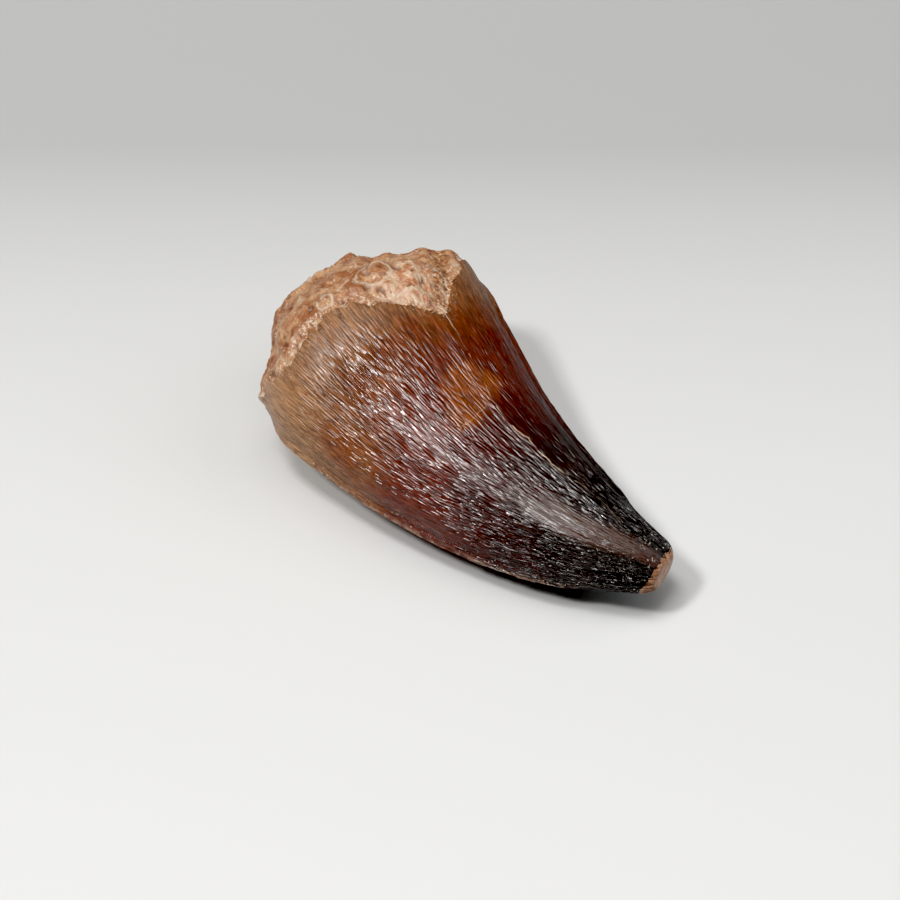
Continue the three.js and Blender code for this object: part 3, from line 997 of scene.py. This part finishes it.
def millimetre_place(bench):
    """The point's place in millimetres."""
    place = bench.put("ShaderNodeTexCoord").outputs["Object"]
    return bench.put("ShaderNodeVectorMath", {0: place, "Scale": METRE_TO_MM}, operation="SCALE").outputs[0]


stone_inputs = [
    ("Light", COLOUR, paint(190, 150, 115)),
    ("Dark", COLOUR, paint(140, 90, 60)),
    ("Patch size", FLOAT, 1.0),
    ("Grain", FLOAT, 0.5),
]
bench, given, out = new_group("mottled stone", stone_inputs, [("Color", COLOUR), ("Height", FLOAT)])
place = millimetre_place(bench)
patches = bench.noise(place, bench.math("DIVIDE", 1.0, given["Patch size"]), 4.0, 0.6)
fine_grain = bench.noise(place, GRAINS_PER_MM, 3.0, 0.6)
mottled = bench.mix(bench.between(patches, *PATCH_EDGE), given["Dark"], given["Light"])
grain_share = bench.times(bench.between(fine_grain, *GRAIN_EDGE), given["Grain"])
bench.feed(out["Color"], bench.mix(grain_share, mottled, bench.mix(DIRT_SHARE, mottled, DIRT)))
bench.feed(out["Height"], fine_grain)

fleck_inputs = [("Size", FLOAT, 1.0), ("Amount", FLOAT, 0.3)]
bench, given, out = new_group("pale flecks", fleck_inputs, [("Mask", FLOAT)])
fleck_noise = bench.noise(millimetre_place(bench), bench.math("DIVIDE", 1.0, given["Size"]), 2.0, 0.7)
over = bench.minus(fleck_noise, bench.minus(1.0, given["Amount"]))
bench.feed(out["Mask"], bench.between(over, *FLECK_EDGE))
print("Groups:", ", ".join(group.name for group in bpy.data.node_groups))

# %% [markdown]
# The enamel goes from tan at the base through rust and maroon to nearly black at the tip. It could be
# painted with one long gradient, but on the real tooth the colours creep forward and back. So one ramp runs
# over the tone that each point keeps, and the tone is pushed about by large blotches and by fine streaks.

# %% The enamel's colours from the base to the tip
ENAMEL_TONES = [
    (8.0, paint(144, 117, 92)),
    (13.5, paint(126, 95, 70)),
    (17.5, paint(116, 79, 50)),
    (20.5, paint(102, 55, 27)),
    (25.0, paint(87, 32, 12)),
    (30.0, paint(78, 25, 10)),
    (36.0, paint(53, 14, 7)),
    (42.0, paint(28, 8, 5)),
    (48.0, paint(16, 7, 4)),
    (56.0, paint(12, 6, 3)),
]
TONES_SPAN = 60.0
BLOTCHES_PER_MM = 0.17
BLOTCH_PUSH = 13.0
STREAK_PUSH = 7.0

enamel, bench, shader = new_material("crown enamel")
grain = bench.place("grain_way")
place = millimetre_place(bench)
blotches = bench.noise(place, BLOTCHES_PER_MM, 3.0, 0.6)
streaks = bench.noise(grain, 1.0, 4.0, 0.65)
blotch_push = bench.times(bench.minus(blotches, 0.5), BLOTCH_PUSH)
streak_push = bench.times(bench.minus(streaks, 0.5), STREAK_PUSH)
tone = bench.plus(bench.value("tone"), bench.plus(blotch_push, streak_push))
body = bench.ramp(tone, ENAMEL_TONES, TONES_SPAN)
print("Enamel has", len(ENAMEL_TONES), "tones")

# %% [markdown]
# Three areas differ from the ramp. The steep outer side is a little lighter and warmer, and a patch in the
# middle has rusted to orange. The face that is worn smooth is browner: partly its own colour, partly a
# painted sheen where the lamps mirror in it. Separate materials would meet in hard lines, so each is a tint
# of the same enamel that fades out.

# %% Tints of the outer side, the smooth face with its painted sheen, and the rust patch
OUTER_TINT = (1.16, 1.07, 0.96, 1.0)
# Brown of the smooth face: partly its own colour, partly painted sheen
SMOOTH_BROWN_AND_SHEEN = paint(74, 41, 29)
SMOOTH_BROWN_AND_SHEEN_SHARE = 0.45
RUST_ORANGE = paint(122, 67, 25)
RUST_SHARE = 0.75
RUST_FADE = (0.15, 0.6)

outer_tint = bench.mix(1.0, body, OUTER_TINT, "MULTIPLY")
body = bench.mix(bench.value("outer_side"), body, outer_tint)
# Partly the smooth face's own brown, partly painted sheen
body = bench.lay(SMOOTH_BROWN_AND_SHEEN, body, bench.value("smooth_face"), SMOOTH_BROWN_AND_SHEEN_SHARE)
rust_edge = bench.plus(bench.value("rust_patch"), bench.minus(streaks, 0.55))
body = bench.lay(RUST_ORANGE, body, bench.between(rust_edge, *RUST_FADE), RUST_SHARE)
print("Rust covers at most", round(100 * RUST_SHARE), "% of the colour below it")

# %% [markdown]
# Streaks run along the grain of real enamel. The wrinkles in the mesh give the broad grooves. Between them
# runs a net of hairlines, too fine for points, so it comes from noise: where a soft noise crosses its middle
# there is a thin line. Grooves and hairlines are darkened as painted shade, deeper where the wrinkles are
# deep.

# %% Fine streaks, and painted shade in the grooves
STREAKS_PER_CELL = 3.6
STREAK_STRENGTH = 0.4
DARK_STREAK, PALE_STREAK = paint(60, 30, 18), paint(255, 225, 190)
HAIRLINES_PER_CELL = 2.5
HAIRLINE_WIDTH = 0.045
# Painted shade: the colour that the grooves and hairlines are multiplied by
GROOVE_SHADE = (0.36, 0.17, 0.11, 1.0)
GROOVE_SHADE_EVERYWHERE = 0.35
GROOVE_SHADE_BY_DEPTH = 0.55

hairline_noise = bench.noise(grain, HAIRLINES_PER_CELL, 0.6, 0.5)
wrinkling = bench.size(bench.minus(hairline_noise, 0.5))
fine_streaks = bench.between(bench.noise(grain, STREAKS_PER_CELL, 2.0, 0.6), 0.35, 0.65)
body = bench.mix(STREAK_STRENGTH, body, bench.mix(fine_streaks, DARK_STREAK, PALE_STREAK), "SOFT_LIGHT")
# Painted shade between the mesh's wrinkles and along the hairlines, stronger where the wrinkles are deeper
shade_between_ridges = bench.between(bench.value("ridge"), 0.6, 0.1)
groove_shade = bench.larger(shade_between_ridges, bench.between(wrinkling, HAIRLINE_WIDTH, 0.0))
groove_shade_strength = bench.plus(bench.times(bench.value("wrinkle_depth"), GROOVE_SHADE_BY_DEPTH), GROOVE_SHADE_EVERYWHERE)
body = bench.mix(bench.times(groove_shade, groove_shade_strength), body, bench.mix(1.0, body, GROOVE_SHADE, "MULTIPLY"))
print("Hairlines cross", HAIRLINES_PER_CELL, "times in a cell of the grain")

# %% [markdown]
# The pale seam is an opened line filled with light sediment, broken here and there and gone towards the
# tip. A fine crack crosses the upper face. Both could be tubes laid on the surface, but they are level with
# it. So they are paint that reads the distance to a line, which is bent a little by noise.

# %% The pale seam and the crack
SEAM_EDGE = (0.11, 0.02)
SEAM_COLOUR = paint(198, 171, 147)
SEAM_SHARE = 0.65
SEAM_BEND = 0.7
SEAM_BREAKS = (0.4, 0.56)
SEAM_FADE = (54.0, 42.0)
CRACK_FROM_BASE = 31.7
CRACK_EDGE = (0.1, 0.03)
CRACK_MIDDLE = 94.0
CRACK_REACH = (12.0, 9.0)
CRACK_COLOUR = paint(187, 148, 113)
CRACK_SHARE = 0.3

waviness = bench.times(bench.minus(bench.noise(place, 0.8, 2.0), 0.5), SEAM_BEND)
off_seam = bench.size(bench.plus(bench.value("off_seam"), waviness))
unbroken = bench.between(bench.noise(grain, 2.2), *SEAM_BREAKS)
seam_mask = bench.times(bench.between(off_seam, *SEAM_EDGE), unbroken)
seam_mask = bench.times(seam_mask, bench.between(bench.value("from_base"), *SEAM_FADE))
body = bench.lay(SEAM_COLOUR, body, seam_mask, SEAM_SHARE)
off_crack = bench.plus(bench.value("from_base"), bench.times(waviness, 2.0))
off_crack = bench.size(bench.minus(off_crack, CRACK_FROM_BASE))
aside_of_crack = bench.size(bench.minus(bench.value("degrees_round"), CRACK_MIDDLE))
crack_mask = bench.times(bench.between(off_crack, *CRACK_EDGE), bench.between(aside_of_crack, *CRACK_REACH))
body = bench.lay(CRACK_COLOUR, body, crack_mask, CRACK_SHARE)
print("The crack crosses", CRACK_FROM_BASE, "mm from the base")

# %% [markdown]
# Lime specks cling to the cutting edge, the tip and the rim of the enamel. The crest of the cutting edge is
# rubbed pale in places. Both use masks that the points keep, broken up by flecks and noise.

# %% Lime specks, and the rubbed crest
SPECK_COLOUR = paint(196, 185, 171)
SPECK_SHARE = 0.8
ENAMEL_RIM = (2.4, 0.2)
CREST_COLOUR = paint(162, 131, 111)
CREST_SHARE = 0.75

lime_specks = bench.group("pale flecks", Size=0.38, Amount=0.37)["Mask"]
near_edges = bench.larger(bench.value("rim"), bench.between(bench.value("past_edge"), *ENAMEL_RIM))
body = bench.lay(SPECK_COLOUR, body, bench.times(lime_specks, near_edges), SPECK_SHARE)
rubbed_crest = bench.times(bench.value("crest"), bench.between(bench.noise(place, 1.2), 0.42, 0.6))
body = bench.lay(CREST_COLOUR, body, rubbed_crest, CREST_SHARE)
bench.feed(shader.inputs["Base Color"], body)
print("Specks and crest are laid on")

# %% [markdown]
# Fossil enamel takes a high polish, a little uneven. It is duller near the base and on the inner flank,
# where sediment has etched it. The hairlines are pressed into the shading, because they are too fine for
# the mesh.

# %% Polish and hairlines of the enamel
POLISH = 0.13
DULLER_AT_BASE = 0.18
DULLER_FLANK = 0.12
UNEVEN_POLISH = 0.12
HAIRLINE_DEPTH = 0.00055

near_base = bench.between(bench.value("tone"), 20.0, 10.0)
polish = bench.plus(bench.times(near_base, DULLER_AT_BASE), POLISH)
polish = bench.plus(polish, bench.times(bench.value("flank"), DULLER_FLANK))
polish = bench.plus(polish, bench.times(bench.noise(place, 0.9, 3.0), UNEVEN_POLISH))
bench.feed(shader.inputs["Roughness"], polish)
bench.emboss(shader, bench.times(wrinkling, bench.value("wrinkle_depth")), 1.0, HAIRLINE_DEPTH)
shader.inputs["IOR"].default_value = 1.43
print("Enamel uses", len(bench.tree.nodes), "nodes")

# %% [markdown]
# The root band is bone and hardened sand stained orange and pink. The round patch on top is creamy sand,
# and the strip beside it is broken, glinting grain. Three materials would meet in straight steps along the
# faces, so one material mixes three stones by the masks that the points keep.

# %% Three stones for the root band
BAND_STONE = {"Light": paint(187, 145, 109), "Dark": paint(148, 92, 56), "Patch_size": 2.2, "Grain": 0.55}
CREAMY_SAND = {"Light": paint(199, 171, 143), "Dark": paint(169, 111, 76), "Patch_size": 1.3, "Grain": 0.4}
STRIP_GRAIN = {"Light": paint(191, 147, 106), "Dark": paint(131, 72, 39), "Patch_size": 0.5, "Grain": 0.7}

crust, bench, shader = new_material("root crust")
stone, sand, broken_grain = (
    bench.group("mottled stone", **values) for values in (BAND_STONE, CREAMY_SAND, STRIP_GRAIN))
sand_edge = bench.plus(bench.value("sandy"), bench.minus(bench.noise(millimetre_place(bench), 1.1), 0.5))
body = bench.mix(bench.between(sand_edge, 0.2, 0.4), stone["Color"], sand["Color"])
body = bench.mix(bench.value("strip"), body, broken_grain["Color"])
print("Three stones are mixed with", len(bench.tree.nodes), "nodes")

# %% [markdown]
# Pale rings, veins and flecks of lime lie on the crust, thickest where the enamel ends, and the pits are
# dark with dirt. Dried lime and sand are duller than enamel, and duller still on the grain.

# %% Lime, pits and dullness of the crust
LIME_COLOUR = paint(199, 184, 164)
LIME_SHARE = 0.75
LIME_RIM = (-2.6, -0.6)
PIT_COLOUR = paint(83, 48, 28)
PIT_SHARE = 0.7
CRUST_DULLNESS = 0.3
DULLER_GRAIN = 0.3
CRUST_GRAIN_DEPTH = 0.0002

flecks = bench.group("pale flecks", Size=0.9, Amount=0.36)["Mask"]
rim_lime = bench.group("pale flecks", Size=0.45, Amount=0.48)["Mask"]
rim_lime = bench.times(rim_lime, bench.between(bench.value("past_edge"), *LIME_RIM))
pale = bench.larger(bench.value("trace"), bench.larger(flecks, rim_lime))
body = bench.lay(LIME_COLOUR, body, pale, LIME_SHARE)
body = bench.lay(PIT_COLOUR, body, bench.value("pit"), PIT_SHARE)
bench.feed(shader.inputs["Base Color"], body)
dullness = bench.plus(bench.times(stone["Height"], DULLER_GRAIN), CRUST_DULLNESS)
bench.feed(shader.inputs["Roughness"], dullness)
bench.emboss(shader, stone["Height"], 0.6, CRUST_GRAIN_DEPTH)
print("Crust uses", len(bench.tree.nodes), "nodes")

# %% [markdown]
# The worn tip shows bare dentine, a warm tan, smooth and slightly waxy. The broken base shows porous
# dentine and sand, dull and dusty. Both are the mottled stone again, with their own colours and grain.

# %% Dentine on the worn tip, and the broken base
TIP_DENTINE = {"Light": paint(180, 138, 108), "Dark": paint(140, 96, 68), "Patch_size": 1.0, "Grain": 0.3}
BASE_STONE = {"Light": paint(196, 156, 118), "Dark": paint(146, 98, 64), "Patch_size": 1.8, "Grain": 0.6}


def plain_stone(name, values, roughness, grain_depth):
    """A material of mottled stone alone."""
    material, bench, shader = new_material(name)
    stone = bench.group("mottled stone", **values)
    bench.feed(shader.inputs["Base Color"], stone["Color"])
    shader.inputs["Roughness"].default_value = roughness
    bench.emboss(shader, stone["Height"], 0.5, grain_depth)
    return material


dentine = plain_stone("tip dentine", TIP_DENTINE, 0.42, 0.00008)
broken_base = plain_stone("broken base", BASE_STONE, 0.75, 0.0003)
print("Finishes:", ", ".join(m.name for m in (enamel, crust, dentine, broken_base)))

# %% [markdown]
# Each face takes one finish. Masks could mix all four in one material, but then every face would carry
# every node. The faces are small enough at the enamel's ragged edge and at the rim of the worn tip that the
# line looks chipped, not stepped.

# %% Choose a finish for each face
TIP_EDGE = [
    # angle, millimetres from the base
    (0, 57.5), (60, 57.9), (93, 57.8), (130, 57.6), (155, 57.4), (186, 56.8), (220, 56.6), (300, 57.2),
    (360, 57.5),
]
TIP_RAGGEDNESS = 0.35
BREAK_FINISH_REACH = 0.84
BREAK_RAGGEDNESS = 0.22
ENAMEL, CRUST, DENTINE, BROKEN = range(4)

face_sizes = np.array([len(face) for face in faces])
corner_points = np.concatenate([np.array(face) for face in faces])
face_starts = np.concatenate([[0], np.cumsum(face_sizes)[:-1]])


def face_mean(values):
    """The mean of a value over the corners of each face."""
    return np.add.reduceat(values[corner_points], face_starts) / face_sizes


past_tip = from_base - smooth_through(TIP_EDGE, degrees) + TIP_RAGGEDNESS * specks
break_reach = outward + BREAK_RAGGEDNESS * grains(broken_face, 2.2, 61.0)
out_on_break = np.full(len(places), 2.0)
out_on_break[:wall_start] = np.concatenate([[0.0], break_reach.ravel()])
finish = np.where(face_mean(on_every_point(past_edge, -8.0)) > 0, ENAMEL, CRUST)
finish = np.where(face_mean(on_every_point(past_tip, -8.0, 1.0)) > 0, DENTINE, finish)
finish = np.where(face_mean(out_on_break) < BREAK_FINISH_REACH, BROKEN, finish)
for material in (enamel, crust, dentine, broken_base):
    mesh.materials.append(material)
mesh.polygons.foreach_set("material_index", finish.astype(np.int32))
print("Faces of each finish:", np.bincount(finish).tolist())

# %% [markdown]
# The dressed tooth rides on the root body and stands for the CAD tooth, which is hidden. Nothing on
# it moves by itself, so this one piece is all there is.

# %% Put the tooth on its body
tooth = bpy.data.objects.new("mosasaur_tooth", mesh)
bpy.context.scene.collection.objects.link(tooth)
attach(tooth, "root")
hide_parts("tooth")
print("The tooth has", len(mesh.polygons), "faces")

# %% [markdown]
# The table is plain pale paper. Its colour is painted darker towards the back, as painted shade where the
# lamps' light falls off, and brighter far behind, as painted light for the enamel to mirror. A raised sweep
# would hide the tooth from behind, so the table stays flat and only its tone changes. It is round, so that
# no corner shows at the horizon. It is stage, not part of the tooth.

# %% The table
TABLE_RADIUS = 0.85
TABLE_CORNERS = 96
CAMERA_AZIMUTH = 46.99
# Painted shade towards the back, and painted light on the far paper, which the tooth mirrors
PAPER_SHADING_TONES = [
    # millimetres towards the back, tone
    (-60, 0.582), (0, 0.558), (20, 0.533), (40, 0.502), (60, 0.45), (79, 0.386), (107, 0.39), (150, 0.405),
    (260, 0.77),
]
PAPER_RED = 0.988

table_mesh = bpy.data.meshes.new("table")
turns = [2 * math.pi * corner / TABLE_CORNERS for corner in range(TABLE_CORNERS)]
table_edge = [(TABLE_RADIUS * math.cos(turn), TABLE_RADIUS * math.sin(turn), 0.0) for turn in turns]
table_mesh.from_pydata(table_edge, [], [list(range(TABLE_CORNERS))])
table = bpy.data.objects.new("table", table_mesh)
bpy.context.scene.collection.objects.link(table)

table_finish, bench, shader = new_material("table paper")
away = (-math.sin(math.radians(CAMERA_AZIMUTH)), math.cos(math.radians(CAMERA_AZIMUTH)), 0.0)
place = millimetre_place(bench)
towards_back = bench.put("ShaderNodeVectorMath", {0: place, 1: away}, operation="DOT_PRODUCT")
nearest, furthest = PAPER_SHADING_TONES[0][0], PAPER_SHADING_TONES[-1][0]
stops = [(distance - nearest, (tone * PAPER_RED, tone, tone, 1.0)) for distance, tone in PAPER_SHADING_TONES]
paper = bench.ramp(bench.minus(towards_back.outputs["Value"], nearest), stops, furthest - nearest)
bench.feed(shader.inputs["Base Color"], paper)
shader.inputs["Roughness"].default_value = 0.7
table_mesh.materials.append(table_finish)
print("Table of", 2 * TABLE_RADIUS, "m across")

# %% [markdown]
# The camera stands where the photo's did. Its place was worked out from the outline: it looks down by about
# 43 degrees, from the tip's side, with a moderately long lens. A shorter lens would swell the near side.

# %% The camera
CAMERA_ELEVATION = 42.74
CAMERA_DISTANCE = 0.21754
LOOK_AT = Vector((-0.00075, -0.00246, 0.0075))


def direction(azimuth, elevation):
    """The direction of a place in the room, seen from the tooth."""
    a, e = math.radians(azimuth), math.radians(elevation)
    return Vector((math.sin(a) * math.cos(e), -math.cos(a) * math.cos(e), math.sin(e)))


def face_the_tooth(thing, azimuth, elevation, distance, look_at):
    """Put a camera or a lamp somewhere round the tooth, facing it."""
    toward = direction(azimuth, elevation)
    thing.location = look_at + distance * toward
    thing.rotation_mode = "QUATERNION"
    thing.rotation_quaternion = toward.to_track_quat("Z", "Y")
    bpy.context.scene.collection.objects.link(thing)


camera = bpy.data.objects.new("camera", bpy.data.cameras.new("camera"))
camera.data.lens = 70
camera.data.sensor_width = 36
camera.data.clip_start = 0.01
face_the_tooth(camera, CAMERA_AZIMUTH, CAMERA_ELEVATION, CAMERA_DISTANCE, LOOK_AT)
bpy.context.scene.camera = camera
print("Camera at", [round(c, 4) for c in camera.location])

# %% [markdown]
# Polished enamel mirrors every lamp, so the bright band along the tooth tells where the lamps stood: each
# point's mirror direction was worked out from the photo's angle, and a lamp was put where the bright points
# look. A broad softbox overhead gives the sheen, a tube and a small lamp give the glints, and a weak window
# on the right keeps the shadow pale.

# %% The lamps
LIGHT_DISTANCE = 1.2
LAMPS = [
    # name, azimuth, elevation, width, height, power, colour
    ("softbox overhead", -8, 68, 0.54, 0.8, 3.2, (1.0, 0.99, 0.975)),
    ("tube overhead", 6, 74, 0.42, 0.22, 6.7, (1.0, 0.99, 0.975)),
    ("softbox above", 108, 80, 0.52, 0.52, 2.7, (1.0, 0.93, 0.86)),
    ("lamp on the left", -8, 56, 0.13, 0.15, 8.2, (1.0, 0.985, 0.96)),
    ("window on the right", 137, 45, 0.8, 0.8, 3.7, (0.97, 0.985, 1.0)),
]

for name, azimuth, elevation, width, height, power, colour in LAMPS:
    lamp = bpy.data.lights.new(name, "AREA")
    lamp.shape = "RECTANGLE"
    lamp.size = width
    lamp.size_y = height
    lamp.energy = power
    lamp.color = colour
    face_the_tooth(bpy.data.objects.new(name, lamp), azimuth, elevation, LIGHT_DISTANCE, Vector((0, 0, 0)))

# %% [markdown]
# The room itself is pale and is seen behind the table, but it hardly lights the tooth: a bright room would
# wash out the black of the crown. The photo's blacks are a little deeper than the scene's, so a small
# amount is cut off at the dark end of the picture.

# %% The room and the view
ROOM_COLOUR = (0.99, 1.0, 0.98, 1.0)
ROOM_GLOW = 0.03
ROOM_BRIGHTNESS_SEEN = 0.7
BLACK_POINT = 0.013

world = bpy.context.scene.world or bpy.data.worlds.new("room")
bpy.context.scene.world = world
world.use_nodes = True
room = world.node_tree.nodes["Background"]
room.inputs["Color"].default_value = ROOM_COLOUR
room_bench = Bench(world.node_tree)
seen_directly = room_bench.put("ShaderNodeLightPath").outputs["Is Camera Ray"]
glow = room_bench.plus(room_bench.times(seen_directly, ROOM_BRIGHTNESS_SEEN), ROOM_GLOW)
room_bench.feed(room.inputs["Strength"], glow)
view = bpy.context.scene.view_settings
view.view_transform = "Standard"
view.use_curve_mapping = True
view.curve_mapping.black_level = (BLACK_POINT, BLACK_POINT, BLACK_POINT)
view.curve_mapping.update()
print("The room glows at", ROOM_GLOW, "and the black point is", BLACK_POINT)

# %% [markdown]
